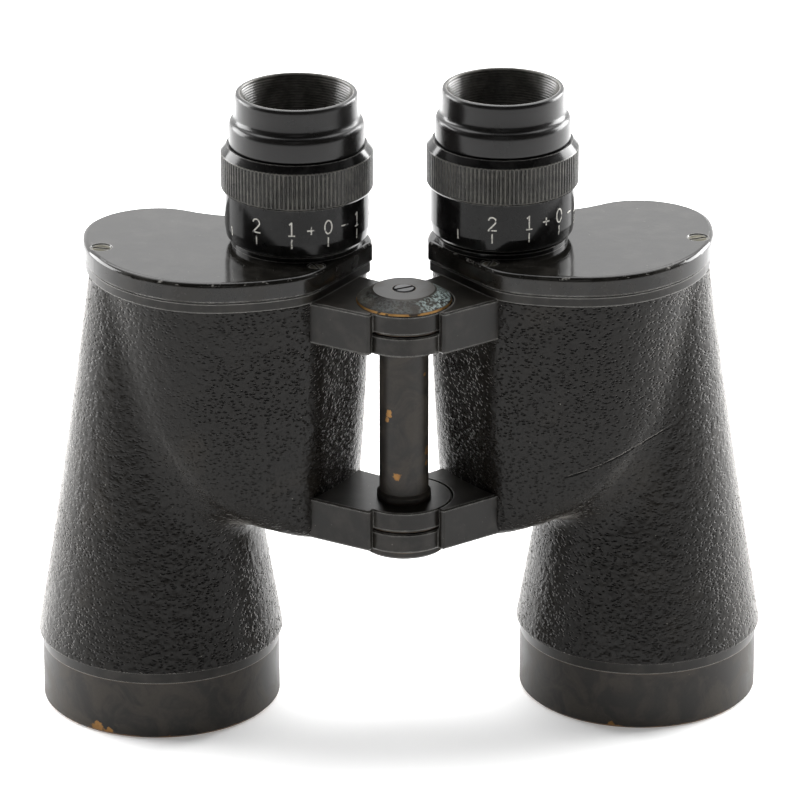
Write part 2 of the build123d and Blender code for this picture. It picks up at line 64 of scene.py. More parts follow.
# ------------------------------------------------------------------ materials
class Shade:
    """A procedural material under construction, in the coordinates of its own object."""

    def __init__(self, name, roughness=0.4, metallic=0.0):
        self.material = bpy.data.materials.new(name)
        self.material.use_nodes = True
        self.nodes = self.material.node_tree.nodes
        self.links = self.material.node_tree.links
        self.shader = self.nodes["Principled BSDF"]
        self.set("Roughness", roughness)
        self.set("Metallic", metallic)
        self.place = self.put("ShaderNodeTexCoord").outputs["Object"]

    def put(self, kind, inputs=None, **settings):
        node = self.nodes.new(kind)
        for key, value in settings.items():
            setattr(node, key, value)
        for key, value in (inputs or {}).items():
            if isinstance(value, bpy.types.NodeSocket):
                self.links.new(value, node.inputs[key])
            else:
                node.inputs[key].default_value = value
        return node

    def set(self, name, value):
        if isinstance(value, bpy.types.NodeSocket):
            self.links.new(value, self.shader.inputs[name])
        else:
            self.shader.inputs[name].default_value = value

    def math(self, operation, a, b=0.0, clamp=False):
        return self.put("ShaderNodeMath", {0: a, 1: b}, operation=operation, use_clamp=clamp).outputs[0]

    def scaled(self, value, factor):
        return self.math("MULTIPLY", value, factor)

    def wander(self, noise, amount, middle=0.5):
        """A noise turned into a value that swings about zero."""
        return self.scaled(self.math("SUBTRACT", noise, middle), amount)

    def vector(self, operation, a, b, output=0):
        return self.put("ShaderNodeVectorMath", {0: a, 1: b}, operation=operation).outputs[output]

    def linked(self, name):
        """What feeds one of the shader's inputs now."""
        return self.shader.inputs[name].links[0].from_socket

    def noise(self, scale, detail=3.0, roughness=0.55, distortion=0.0, place=None):
        node = self.put("ShaderNodeTexNoise", {"Vector": place or self.place, "Scale": scale,
                                               "Detail": detail, "Roughness": roughness,
                                               "Distortion": distortion})
        return node.outputs["Fac"]

    def cells(self, scale, feature="F1", place=None, smooth=0.0):
        node = self.put("ShaderNodeTexVoronoi", {"Vector": place or self.place, "Scale": scale},
                        feature=feature)
        if feature == "SMOOTH_F1":
            node.inputs["Smoothness"].default_value = smooth
        return node.outputs["Distance"]

    def step(self, value, low, high):
        """0 below low, 1 above high, smooth between; low above high turns it round."""
        flip = low > high
        if flip:
            low, high = high, low
        node = self.put("ShaderNodeMapRange", {"Value": value, "From Min": low, "From Max": high,
                                               "To Min": 1.0 if flip else 0.0,
                                               "To Max": 0.0 if flip else 1.0},
                        interpolation_type="SMOOTHSTEP", clamp=True)
        return node.outputs["Result"]

    def span(self, value, low, high):
        """A 0 to 1 value spread between two numbers."""
        node = self.put("ShaderNodeMapRange", {"Value": value, "To Min": low, "To Max": high})
        return node.outputs["Result"]

    def mix(self, factor, a, b):
        node = self.put("ShaderNodeMix", data_type="RGBA")
        for socket, value in ((node.inputs["Factor"], factor), (node.inputs[6], a), (node.inputs[7], b)):
            if isinstance(value, bpy.types.NodeSocket):
                self.links.new(value, socket)
            elif isinstance(value, tuple):
                socket.default_value = (*value, 1.0)
            else:
                socket.default_value = value
        return node.outputs[2]

    def warp(self, scale, amount):
        """The object's coordinates, pushed about by a noise."""
        cloud = self.put("ShaderNodeTexNoise", {"Vector": self.place, "Scale": scale, "Detail": 2.0})
        centred = self.vector("SUBTRACT", cloud.outputs["Color"], (0.5, 0.5, 0.5))
        pushed = self.put("ShaderNodeVectorMath", {0: centred}, operation="SCALE")
        pushed.inputs["Scale"].default_value = amount
        return self.vector("ADD", self.place, pushed.outputs[0])

    def stretch(self, factors, place=None):
        return self.vector("MULTIPLY", place or self.place, factors)

    def edges(self, radius):
        """How far a point lies on an outer or inner edge, from the rounding of the normal."""
        rounded = self.put("ShaderNodeBevel", {"Radius": radius}, samples=6).outputs[0]
        normal = self.put("ShaderNodeNewGeometry").outputs["Normal"]
        return self.math("SUBTRACT", 1.0, self.vector("DOT_PRODUCT", rounded, normal, "Value"))

    def axis(self, which, place=None):
        return self.put("ShaderNodeSeparateXYZ", {0: place or self.place}).outputs[which]

    def off_axis(self, x, y):
        """Distance from a vertical axis at |x|, y, in metres."""
        across = self.math("SUBTRACT", self.math("ABSOLUTE", self.axis("X")), x)
        deep = self.math("SUBTRACT", self.axis("Y"), y)
        squares = [self.math("MULTIPLY", value, value) for value in (across, deep)]
        return self.math("SQRT", self.math("ADD", *squares))

    def near(self, point, reach, ragged=0.5, scale=900.0):
        """A ragged spot round a point: 1 inside, 0 beyond its reach."""
        distance = self.vector("DISTANCE", self.place, point, "Value")
        wobble = self.wander(self.noise(scale), ragged * reach * 2)
        return self.step(self.math("ADD", distance, wobble), reach, reach * 0.75)

    def any(self, *masks):
        result = masks[0]
        for mask in masks[1:]:
            result = self.math("MAXIMUM", result, mask)
        return result

    def both(self, *masks):
        result = masks[0]
        for mask in masks[1:]:
            result = self.math("MULTIPLY", result, mask)
        return result

    def bump(self, height, strength, depth):
        """Adds a bump of the given depth, in metres, on top of any bump already there."""
        node = self.put("ShaderNodeBump", {"Strength": strength, "Distance": depth, "Height": height})
        before = self.shader.inputs["Normal"]
        if before.is_linked:
            self.links.new(self.linked("Normal"), node.inputs["Normal"])
        self.links.new(node.outputs[0], self.shader.inputs["Normal"])


CREASE = ((0.0437, -0.0270, 0.0762), (0.0728, -0.0262, 0.0868))


def leather():
    """Black pebbled leather: shiny between short pits and creases, smoother where it is worn. The pits
    and the crease are painted near black, as painted shade in these hollows.
    """
    shade = Shade("leatherette", 0.3)
    warped = shade.warp(420.0, 0.0010)
    height = shade.axis("Z")
    lower = shade.both(shade.step(height, 0.052, 0.070), shade.step(height, 0.104, 0.080))
    worn = shade.any(shade.step(shade.noise(24.0, 2.0), 0.52, 0.66), shade.scaled(lower, 0.75))
    fresh = shade.math("SUBTRACT", 1.0, shade.scaled(worn, 0.8))
    pit_place = shade.stretch((0.72, 0.72, 1.25), warped)
    pits = shade.both(shade.step(shade.cells(1000.0, "F1", pit_place), 0.46, 0.12), fresh)
    pebbles = shade.cells(700.0, "SMOOTH_F1", warped, 0.6)
    broad = shade.noise(300.0, 3.0)
    fine = shade.noise(2400.0, 3.0)
    shade.bump(shade.math("ADD", pebbles, broad), 0.6, 0.00016)
    shade.bump(pits, 1.0, -0.00026)
    shade.bump(fine, 0.35, 0.00003)
    dusty = shade.step(shade.noise(50.0, 4.0, 0.6), 0.50, 0.78)
    tone = shade.mix(dusty, (0.0052, 0.0043, 0.0033), (0.0120, 0.0098, 0.0072))
    lint = shade.step(shade.noise(1400.0, 1.0), 0.80, 0.83)
    crease = seam(shade)
    shade.bump(crease, 1.0, -0.0005)
    # painted shade: the pits and the crease are painted near black, standing in for the shade that falls
    # in these hollows, and are also made rougher
    dark = shade.any(shade.scaled(pits, 0.9), crease)
    tone = shade.mix(dark, tone, (0.001, 0.001, 0.001))
    shade.set("Base Color", shade.mix(lint, tone, (0.25, 0.24, 0.21)))
    rough = shade.math("ADD", shade.span(worn, 0.31, 0.25), shade.wander(fine, 0.12))
    shade.set("Roughness", shade.math("ADD", rough, shade.scaled(dark, 0.45), clamp=True))
    shade.set("Specular IOR Level", 0.16)
    shade.set("Sheen Weight", 0.4)
    shade.set("Sheen Roughness", 0.3)
    shade.set("Sheen Tint", (1.0, 0.95, 0.88, 1.0))
    return shade.material


def seam(shade):
    """The creased seam across the front of the right-hand leather, as a thin ragged line. It is both a
    sunk groove and a line of painted shade.
    """
    (x0, y0, z0), (x1, _, z1) = CREASE
    length = hypot(x1 - x0, z1 - z0)
    along = ((x1 - x0) / length, 0.0, (z1 - z0) / length)
    across = (-along[2], 0.0, along[0])
    wavy = shade.warp(60.0, 0.0016)
    offset = shade.vector("SUBTRACT", wavy, (x0, y0, z0))
    run = shade.vector("DOT_PRODUCT", offset, along, "Value")
    side = shade.vector("DOT_PRODUCT", offset, across, "Value")
    ragged = shade.math("ADD", shade.math("ABSOLUTE", side),
                        shade.wander(shade.noise(260.0, 3.0), 0.0009, 0.45))
    thin = shade.step(ragged, 0.00040, 0.00014)
    ends = shade.both(shade.step(run, -0.001, 0.002), shade.step(run, length + 0.003, length - 0.004))
    return shade.both(thin, ends, shade.step(shade.axis("Y"), -0.010, -0.014))


def enamel(name, tone, roughness, wear=0.5, dust=0.4, chips=()):
    """Old black enamel on metal: scuffed, its edges rubbed bare, with specks of dust."""
    shade = Shade(name, roughness)
    mottle = shade.noise(160.0, 4.0, 0.6)
    fine = shade.noise(3200.0, 2.0)
    lifted = tuple(2.2 * c + 0.002 for c in tone)
    colour = shade.mix(shade.step(mottle, 0.42, 0.72), tone, lifted)
    edge = shade.math("ADD", shade.scaled(shade.edges(0.0006), 2.2),
                      shade.wander(shade.noise(420.0, 4.0, 0.7), 0.2))
    rubbed = shade.step(edge, 0.11 - 0.085 * wear, 0.18 - 0.085 * wear)
    bare = shade.mix(shade.noise(900.0), (0.10, 0.098, 0.092), (0.34, 0.33, 0.31))
    specks = shade.step(shade.noise(1500.0, 2.0), 0.78 - 0.05 * dust, 0.82 - 0.04 * dust)
    scratches = shade.noise(70.0, 5.0, 0.75, place=shade.stretch((9.0, 1.0, 3.0)))
    scratched = shade.step(scratches, 0.70, 0.74)
    colour = shade.mix(shade.scaled(scratched, 0.35), colour, (0.09, 0.088, 0.083))
    colour = shade.mix(shade.scaled(rubbed, 0.75 * wear + 0.2), colour, bare)
    colour = shade.mix(shade.scaled(specks, 0.6 * dust), colour, (0.30, 0.28, 0.24))
    for point, reach, paint in chips:
        colour = shade.mix(shade.near(point, reach), colour, paint)
    shade.set("Base Color", colour)
    shade.set("Roughness", shade.math("ADD", shade.span(mottle, roughness - 0.05, roughness + 0.07),
                                      shade.scaled(rubbed, 0.12)))
    shade.set("Specular IOR Level", 0.26)
    shade.bump(mottle, 0.25, 0.00012)
    shade.bump(fine, 0.25, 0.00002)
    return shade


def plate_paint():
    """Gloss enamel of the cover plates, nicked along its rounded edge and dusty on top."""
    shade = enamel("plate_enamel", (0.0065, 0.0060, 0.0052), 0.1, wear=0.75, dust=0.35, chips=CHIPS)
    tilt = shade.put("ShaderNodeSeparateXYZ",
                     {0: shade.put("ShaderNodeNewGeometry").outputs["Normal"]}).outputs["Z"]
    band = shade.both(shade.step(tilt, 0.30, 0.50), shade.step(tilt, 0.93, 0.80))
    nicks = shade.both(band, shade.step(shade.noise(250.0, 5.0, 0.75), 0.56, 0.64))
    side = shade.both(shade.step(tilt, 0.3, 0.1), shade.step(shade.noise(90.0, 4.0, 0.65), 0.42, 0.6))
    lint = shade.both(shade.step(tilt, 0.9, 0.99), shade.step(shade.noise(1900.0, 2.0), 0.755, 0.79))
    scratches = shade.noise(55.0, 5.0, 0.8, place=shade.stretch((12.0, 1.2, 1.0)))
    below = shade.linked("Base Color")
    colour = shade.mix(shade.scaled(side, 0.6), below, (0.012, 0.0098, 0.0070))
    colour = shade.mix(shade.scaled(nicks, 0.55), colour, (0.28, 0.27, 0.25))
    shade.set("Base Color", shade.mix(shade.scaled(lint, 0.8), colour, (0.34, 0.33, 0.30)))
    scuffed = shade.scaled(shade.any(nicks, shade.step(scratches, 0.66, 0.72)), 0.25)
    rougher = shade.math("ADD", scuffed, shade.scaled(side, 0.16))
    shade.set("Roughness", shade.math("ADD", shade.linked("Roughness"), rougher))
    return shade


def lacquer(name, spots=(), edge_z=None):
    """Dark brown-black lacquer over brass, mottled, worn to the brass in places."""
    shade = Shade(name, 0.36)
    blotch = shade.step(shade.noise(105.0, 5.0, 0.62, 0.8), 0.40, 0.62)
    fine = shade.noise(1400.0, 3.0)
    dark = shade.mix(fine, (0.0095, 0.0085, 0.0075), (0.017, 0.015, 0.0125))
    brown = shade.mix(fine, (0.024, 0.020, 0.016), (0.038, 0.032, 0.025))
    colour = shade.mix(blotch, dark, brown)
    brass = shade.mix(shade.noise(520.0, 4.0), (0.12, 0.058, 0.020), (0.30, 0.165, 0.062))
    masks = [shade.near(point, reach, 0.8) for point, reach in spots]
    if edge_z is not None:
        ragged = shade.wander(shade.noise(160.0, 5.0, 0.7), 0.0034, 0.46)
        height = shade.math("SUBTRACT", shade.axis("Z"), ragged)
        masks.append(shade.step(height, edge_z + 0.0002, edge_z))
    edge = shade.math("ADD", shade.edges(0.0004), shade.wander(shade.noise(300.0, 4.0, 0.7), 0.2))
    masks.append(shade.scaled(shade.step(edge, 0.13, 0.22), 0.45))
    bare = shade.any(*masks)
    specks = shade.step(shade.noise(1100.0, 2.0), 0.775, 0.80)
    colour = shade.mix(bare, colour, brass)
    shade.set("Base Color", shade.mix(shade.scaled(specks, 0.5), colour, (0.26, 0.22, 0.16)))
    shade.set("Metallic", shade.scaled(bare, 0.85))
    shade.set("Roughness", shade.math("ADD", shade.span(blotch, 0.36, 0.46), shade.scaled(fine, 0.06)))
    shade.set("Specular IOR Level", 0.23)
    shade.bump(blotch, 0.3, 0.00006)
    shade.bump(fine, 0.3, 0.00002)
    return shade


def metal(name, colour, roughness, brushed=1500.0, metallic=1.0):
    shade = Shade(name, roughness, metallic)
    lines = shade.noise(brushed, 3.0, 0.6, place=shade.stretch((1.0, 1.0, 0.08)))
    stain = shade.noise(240.0, 4.0)
    dull = tuple(0.45 * c for c in colour)
    shade.set("Base Color", shade.mix(shade.step(stain, 0.4, 0.7), colour, dull))
    shade.set("Roughness", shade.span(lines, roughness - 0.08, roughness + 0.12))
    shade.bump(lines, 0.2, 0.00002)
    return shade


def glass(name):
    shade = Shade(name, 0.02)
    shade.set("Base Color", (0.93, 0.96, 0.97, 1.0))
    shade.set("Transmission Weight", 1.0)
    shade.set("IOR", 1.52)
    smear = shade.noise(120.0, 4.0)
    shade.set("Roughness", shade.span(smear, 0.0, 0.05))
    return shade


def bakelite():
    shade = Shade("bakelite", 0.22)
    cloud = shade.noise(130.0, 4.0)
    fine = shade.noise(2600.0, 2.0)
    handled = shade.step(shade.noise(45.0, 4.0, 0.6), 0.5, 0.72)
    dust = shade.step(shade.noise(1700.0, 2.0), 0.77, 0.81)
    colour = shade.mix(cloud, (0.003, 0.0028, 0.0028), (0.008, 0.0075, 0.007))
    dusty = shade.span(shade.step(shade.noise(260.0, 4.0, 0.6), 0.3, 0.7), 0.45, 1.0)
    lip = shade.math("ADD", shade.edges(0.0004), shade.wander(shade.noise(500.0), 0.1))
    colour = shade.mix(shade.scaled(shade.step(lip, 0.08, 0.2), 0.4), colour, (0.07, 0.066, 0.06))
    inside = shade.both(shade.step(shade.off_axis(EYE_X * MM, AXIS_Y * MM), 0.01585, 0.01575), dusty)
    colour = shade.mix(inside, colour, (0.135, 0.130, 0.118))
    shade.set("Base Color", shade.mix(shade.scaled(dust, 0.5), colour, (0.22, 0.21, 0.18)))
    shade.set("Specular IOR Level", 0.28)
    shade.set("Roughness", shade.span(handled, 0.24, 0.36))
    shade.bump(cloud, 0.25, 0.00008)
    shade.bump(fine, 0.2, 0.000015)
    return shade


def focus_enamel():
    """Black enamel of the focus rings, its knurled ridges and shoulders rubbed grey."""
    shade = enamel("focus_enamel", (0.0035, 0.0034, 0.0033), 0.13, wear=0.35, dust=0.4)
    shade.set("Specular IOR Level", 0.15)
    reach = shade.off_axis(EYE_X * MM, AXIS_Y * MM)
    ridge = shade.step(reach, 0.02072, 0.02094)
    patchy = shade.span(shade.step(shade.noise(220.0, 4.0, 0.65), 0.35, 0.65), 0.12, 0.75)
    below = shade.linked("Base Color")
    tone = shade.mix(shade.noise(700.0), (0.045, 0.043, 0.038), (0.13, 0.125, 0.11))
    shade.set("Base Color", shade.mix(shade.both(ridge, patchy), below, tone))
    return shade


def cap_lacquer():
    """The hinge's top cap: lacquer with verdigris and dust on its bevel, brass at its foot."""
    shade = lacquer("cap_lacquer")
    colour = shade.linked("Base Color")
    metallic = shade.linked("Metallic")
    height = shade.axis("Z")
    foot = shade.both(shade.step(height, 0.12765, 0.12745),
                      shade.step(shade.noise(260.0, 4.0), 0.36, 0.44))
    bevel = shade.both(shade.step(height, 0.1275, 0.1279), shade.step(height, 0.1301, 0.1298))
    crust = shade.step(shade.noise(1250.0, 3.0, 0.65), 0.44, 0.58)
    where = shade.step(shade.noise(150.0, 2.0), 0.36, 0.50)
    right = shade.span(shade.step(shade.axis("X"), 0.001, 0.007), 0.12, 1.0)
    green = shade.mix(shade.noise(800.0), (0.12, 0.18, 0.17), (0.44, 0.50, 0.49))
    colour = shade.mix(shade.both(bevel, crust, where, right), colour, green)
    brass = shade.mix(shade.noise(600.0), (0.28, 0.13, 0.04), (0.62, 0.37, 0.13))
    shade.set("Base Color", shade.mix(foot, colour, brass))
    shade.set("Metallic", shade.any(metallic, shade.scaled(foot, 0.8)))
    shade.bump(shade.both(bevel, crust), 0.5, 0.00012)
    return shade


def dial_paint():
    """White filling of the engraved dial, yellowed and partly gone."""
    shade = Shade("dial_paint", 0.6)
    lost = shade.step(shade.noise(900.0, 3.0, 0.6), 0.55, 0.64)
    dirt = shade.noise(500.0, 3.0)
    white = shade.mix(dirt, (0.62, 0.60, 0.55), (0.32, 0.31, 0.28))
    shade.set("Base Color", shade.mix(lost, white, (0.03, 0.03, 0.03)))
    shade.bump(dirt, 0.3, 0.00002)
    return shade


# bare brass spots and paint chips: place and reach in metres, and the paint that shows
POST_SPOTS = [((-0.0046, -0.0283, 0.0955), 0.0013), ((-0.0050, -0.0276, 0.0935), 0.0009),
              ((0.0062, -0.0257, 0.0835), 0.0015), ((-0.0022, -0.0294, 0.0772), 0.0013),
              ((0.0061, -0.0262, 0.0800), 0.0008), ((0.0055, -0.0270, 0.1065), 0.0006)]
RING_SPOTS = [((-0.0859, -0.0268, 0.0012), 0.0022), ((-0.0830, -0.0283, 0.0008), 0.0014),
              ((0.0580, -0.0304, 0.0006), 0.0013)]
PRIMER, BLACK = (0.30, 0.24, 0.16), (0.006, 0.006, 0.006)
CHIPS = [((-0.0842, -0.0180, 0.1330), 0.0009, PRIMER), ((-0.0620, -0.0268, 0.1315), 0.0007, BLACK),
         ((0.0450, -0.0320, 0.1325), 0.0012, BLACK), ((0.0360, -0.0300, 0.1318), 0.0007, BLACK)]

leather_look = leather()
body_paint = enamel("body_enamel", (0.0088, 0.0078, 0.0064), 0.32, wear=0.75, dust=0.8)
body_paint.set("Specular IOR Level", 0.2)
body_enamel = body_paint.material
plate_enamel = plate_paint().material
ring_lacquer = lacquer("ring_lacquer", RING_SPOTS, 0.0002).material
post_lacquer = lacquer("post_lacquer", POST_SPOTS).material
inner_lacquer = lacquer("inner_lacquer").material
screw_paint = enamel("worn_screws", (0.055, 0.052, 0.040), 0.65, wear=0.9, dust=0.6)
screw_paint.set("Specular IOR Level", 0.04)
screw_look = screw_paint.material
dark_steel = metal("dark_steel", (0.045, 0.045, 0.047), 0.38, metallic=0.8).material
bare_brass = metal("bare_brass", (0.46, 0.30, 0.12), 0.36).material
shelf_metal = metal("shelf_metal", (0.36, 0.36, 0.37), 0.42).material
seal_look = enamel("seal_look", (0.008, 0.008, 0.008), 0.7, wear=0.0, dust=0.6).material
glass_look = glass("optical_glass").material
cup_look = bakelite().material
focus_look = focus_enamel().material
cap_look = cap_lacquer().material
dial_look = dial_paint().material

LOOKS = {
    "body_casting": body_enamel, "leather_cover": leather_look, "cover_plate": plate_enamel,
    "cover_gasket": seal_look, "cover_screws": screw_look, "strap_loop": dark_steel,
    "objective_ring": ring_lacquer, "eccentric_ring": inner_lacquer,
    "objective_cell": inner_lacquer, "objective_retainer": inner_lacquer,
    "objective_crown_lens": glass_look, "objective_flint_lens": glass_look,
    "prism_shelf": shelf_metal, "upper_prism": glass_look, "lower_prism": glass_look,
    "prism_clamps": bare_brass, "prism_screws": dark_steel, "eyepiece_mount": focus_look,
    "lens_tube": inner_lacquer, "field_lens": glass_look, "eye_lens": glass_look,
    "lens_spacer": inner_lacquer, "lens_retainer": focus_look, "focus_key": dark_steel,
    "focus_ring": focus_look, "eyecup": cup_look, "eyecup_set_screws": dark_steel,
    "hinge_axle": dark_steel, "hinge_post": post_lacquer, "hinge_washers": inner_lacquer,
    "hinge_top_cap": cap_look, "hinge_bottom_nut": post_lacquer, "hinge_cap_screw": dark_steel,
}


def piece_kind(name):
    for side in SIDES:
        if name.startswith(side + "_"):
            return name[len(side) + 1:]
    return name


def dress(obj, look):
    obj.data.materials.clear()
    obj.data.materials.append(look)


for name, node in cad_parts.items():
    dress(node, LOOKS[piece_kind(name)])


# ------------------------------------------------------------------ mesh helpers
def mesh_object(name, points, faces, look, smooth=True):
    """A new mesh object from points in millimetres."""
    mesh = bpy.data.meshes.new(name)
    mesh.from_pydata([tuple(c * MM for c in p) for p in points], [], faces)
    mesh.update()
    if smooth:
        mesh.polygons.foreach_set("use_smooth", [True] * len(mesh.polygons))
    obj = bpy.data.objects.new(name, mesh)
    scene.collection.objects.link(obj)
    obj.data.materials.append(look)
    return obj


def grid_faces(rows, columns, flip=False):
    """Quads of a grid whose columns close on themselves."""
    faces = []
    for row in range(rows - 1):
        for column in range(columns):
            after = (column + 1) % columns
            quad = (row * columns + column, row * columns + after,
                    (row + 1) * columns + after, (row + 1) * columns + column)
            faces.append(quad[::-1] if flip else quad)
    return faces


# ------------------------------------------------------------------ form of a telescope body
PLATE_MIDDLE, RAY_START, OUTLINE_POINTS = 132.5, 90.0, 1440


def plan_outline():
    """Outline of the cover plate, as angles and radii about the objective axis."""
    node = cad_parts["right_cover_plate"]
    tree = BVHTree.FromPolygons([v.co for v in node.data.vertices],
                                [tuple(p.vertices) for p in node.data.polygons])
    angles = np.linspace(0, 2 * pi, OUTLINE_POINTS, endpoint=False)
    gaps = []
    for angle in angles:
        out = Vector((cos(angle), sin(angle), 0))
        start = (Vector((OBJECTIVE_X, AXIS_Y, PLATE_MIDDLE)) + out * RAY_START) * MM
        gaps.append((tree.ray_cast(start, -out)[0] - start).length)
    radii = RAY_START - np.array(gaps) / MM
    spread = np.exp(-0.5 * (np.arange(-12, 13) / 4.0) ** 2)
    padded = np.concatenate([radii[-12:], radii, radii[:12]])
    return angles, np.convolve(padded, spread / spread.sum(), "valid")


angles, radii = plan_outline()
ring_x = OBJECTIVE_X + radii * np.cos(angles)
ring_y = AXIS_Y + radii * np.sin(angles)

GRID, GRID_MARGIN = 0.5, 12
grid_x = np.arange(ring_x.min() - GRID_MARGIN, ring_x.max() + GRID_MARGIN, GRID)
grid_y = np.arange(ring_y.min() - GRID_MARGIN, ring_y.max() + GRID_MARGIN, GRID)


def outline_distance():
    """Signed distance to the outline on a grid, negative inside."""
    gx, gy = np.meshgrid(grid_x, grid_y, indexing="ij")
    best = np.full(gx.shape, 1e9)
    next_x, next_y = np.roll(ring_x, -2), np.roll(ring_y, -2)
    for ax, ay, bx, by in zip(ring_x[::2], ring_y[::2], next_x[::2], next_y[::2]):
        dx, dy = bx - ax, by - ay
        t = np.clip(((gx - ax) * dx + (gy - ay) * dy) / (dx * dx + dy * dy), 0, 1)
        best = np.minimum(best, (gx - ax - t * dx) ** 2 + (gy - ay - t * dy) ** 2)
    reach = np.interp(np.arctan2(gy - AXIS_Y, gx - OBJECTIVE_X) % (2 * pi), angles, radii, period=2 * pi)
    inside = np.hypot(gx - OBJECTIVE_X, gy - AXIS_Y) < reach
    return np.sqrt(best) * np.where(inside, -1, 1)


distance_grid = outline_distance()


def wall(x, y):
    """Signed distance to the side wall of the prism housing, in plan."""
    u = np.clip((x + WALL_SHIFT - grid_x[0]) / GRID, 0, len(grid_x) - 1.001)
    v = np.clip((y - grid_y[0]) / GRID, 0, len(grid_y) - 1.001)
    i, j = u.astype(int), v.astype(int)
    u, v = u - i, v - j
    flat = (distance_grid[i, j] * (1 - u) * (1 - v) + distance_grid[i + 1, j] * u * (1 - v)
            + distance_grid[i, j + 1] * (1 - u) * v + distance_grid[i + 1, j + 1] * u * v)
    return flat + WALL_INSET


def gap_wall(x, z):
    """Signed distance to the sloping wall beside the gap between the telescopes."""
    top_x, top_z = GAP_WALL_TOP
    return (top_x + np.maximum(0, top_z - z) * GAP_WALL_SLOPE - x) / (1 + GAP_WALL_SLOPE**2) ** 0.5


UNDER_BEND, UNDER_RISE, UNDER_SLOPE = (38.0, 58.8), (61.0, 71.4), 0.28


def tangent_arc(start, slope, end):
    """Centre and radius of the rising arc that leaves start at a slope, and its slope at end."""
    turn = 2 * (atan2(end[1] - start[1], end[0] - start[0]) - atan(slope))
    r = hypot(end[0] - start[0], end[1] - start[1]) / (2 * sin(turn / 2))
    return start[0] - r * sin(atan(slope)), start[1] + r * cos(atan(slope)), r, tan(atan(slope) + turn)


ARC_X, ARC_Z, ARC_R, RISE_SLOPE = tangent_arc(UNDER_BEND, UNDER_SLOPE, UNDER_RISE)


def under(x, z):
    """Signed distance to the underside of the prism housing, positive below it."""
    inner = np.clip(x - ARC_X, -0.9 * ARC_R, 0.9 * ARC_R)
    root_term = np.sqrt(ARC_R**2 - inner**2)
    before, after = x < UNDER_BEND[0], x > UNDER_RISE[0]
    slope = np.where(before, UNDER_SLOPE, np.where(after, RISE_SLOPE, inner / root_term))
    steep = UNDER_RISE[1] + (x - UNDER_RISE[0]) * RISE_SLOPE
    height = np.where(before, UNDER_BEND[1] + (x - UNDER_BEND[0]) * UNDER_SLOPE,
                      np.where(after, steep, ARC_Z - root_term))
    return (height - z) / np.sqrt(1 + slope**2)


def three_point_circle(p, q, s):
    """Centre and radius of the circle through three points."""
    a = np.array([[q[0] - p[0], q[1] - p[1]], [s[0] - p[0], s[1] - p[1]]], float)
    b = 0.5 * np.array([q[0]**2 - p[0]**2 + q[1]**2 - p[1]**2, s[0]**2 - p[0]**2 + s[1]**2 - p[1]**2])
    centre = np.linalg.solve(a, b)
    return centre[0], centre[1], float(np.hypot(p[0] - centre[0], p[1] - centre[1]))


CONE = three_point_circle((CONE_FOOT_R, LEATHER_BOTTOM),
                          (CONE_WAIST_R, (LEATHER_BOTTOM + RIM_BOTTOM) / 2),
                          (CONE_TOP_R, RIM_BOTTOM))
CONE_SLANT = 0.985                  # turns a sideways distance to the cone into a square one


def cone_radius(z):
    side = 1 if CONE[0] < CONE_WAIST_R else -1
    return CONE[0] + side * np.sqrt(np.maximum(CONE[2] ** 2 - (z - CONE[1]) ** 2, 0))


def cone(x, y, z):
    return (np.hypot(x - OBJECTIVE_X, y - AXIS_Y) - cone_radius(z)) * CONE_SLANT


def smooth_max(a, b, k):
    h = np.maximum(k - np.abs(a - b), 0) / np.maximum(k, 1e-6)
    return np.maximum(a, b) + h * h * k / 4


def sharp_form(x, y, z):
    sides = np.maximum(wall(x, y), gap_wall(x, z))
    return np.minimum(np.maximum(sides, under(x, z)), cone(x, y, z))


# roundings, in millimetres: the corner beside the hinge post, the housing's lower edge near
# the hinge and away from it, and the hollow between the housing and the cone
CORNER, HINGE_ROLL, ROLL, VALLEY = 5.0, 3.0, 11.5, 9.0
ROLL_FROM_X, ROLL_TO_X = 20, 42


def housing(x, y, z):
    sides = smooth_max(wall(x, y), gap_wall(x, z), CORNER)
    return smooth_max(sides, under(x, z), np.interp(x, [ROLL_FROM_X, ROLL_TO_X], [HINGE_ROLL, ROLL]))


def smooth_form(x, y, z):
    """The body with its lower edge rolled and the corner between housing and cone filled.
    The filling fades where the two surfaces run side by side."""
    a, b = housing(x, y, z), cone(x, y, z)
    e = 0.3
    ga = np.stack([housing(x + e, y, z) - a, housing(x, y + e, z) - a, housing(x, y, z + e) - a])
    gb = np.stack([cone(x + e, y, z) - b, cone(x, y + e, z) - b, cone(x, y, z + e) - b])
    dot = (ga * gb).sum(0) / (np.linalg.norm(ga, axis=0) * np.linalg.norm(gb, axis=0) + 1e-9)
    return -smooth_max(-a, -b, VALLEY * np.clip(1 - dot, 0, 1) ** 0.8)


def root(function, low, high, steps=26):
    """Where a function of an array, negative at low and positive at high, crosses zero."""
    for _ in range(steps):
        middle = (low + high) / 2
        outside = function(middle) > 0
        high = np.where(outside, middle, high)
        low = np.where(outside, low, middle)
    return (low + high) / 2


COLUMNS, ROWS, PROFILE_STEPS = 400, 240, 420
HEART_R, HEART_Z = 9.0, 86.0        # inside point that sees the whole of each profile


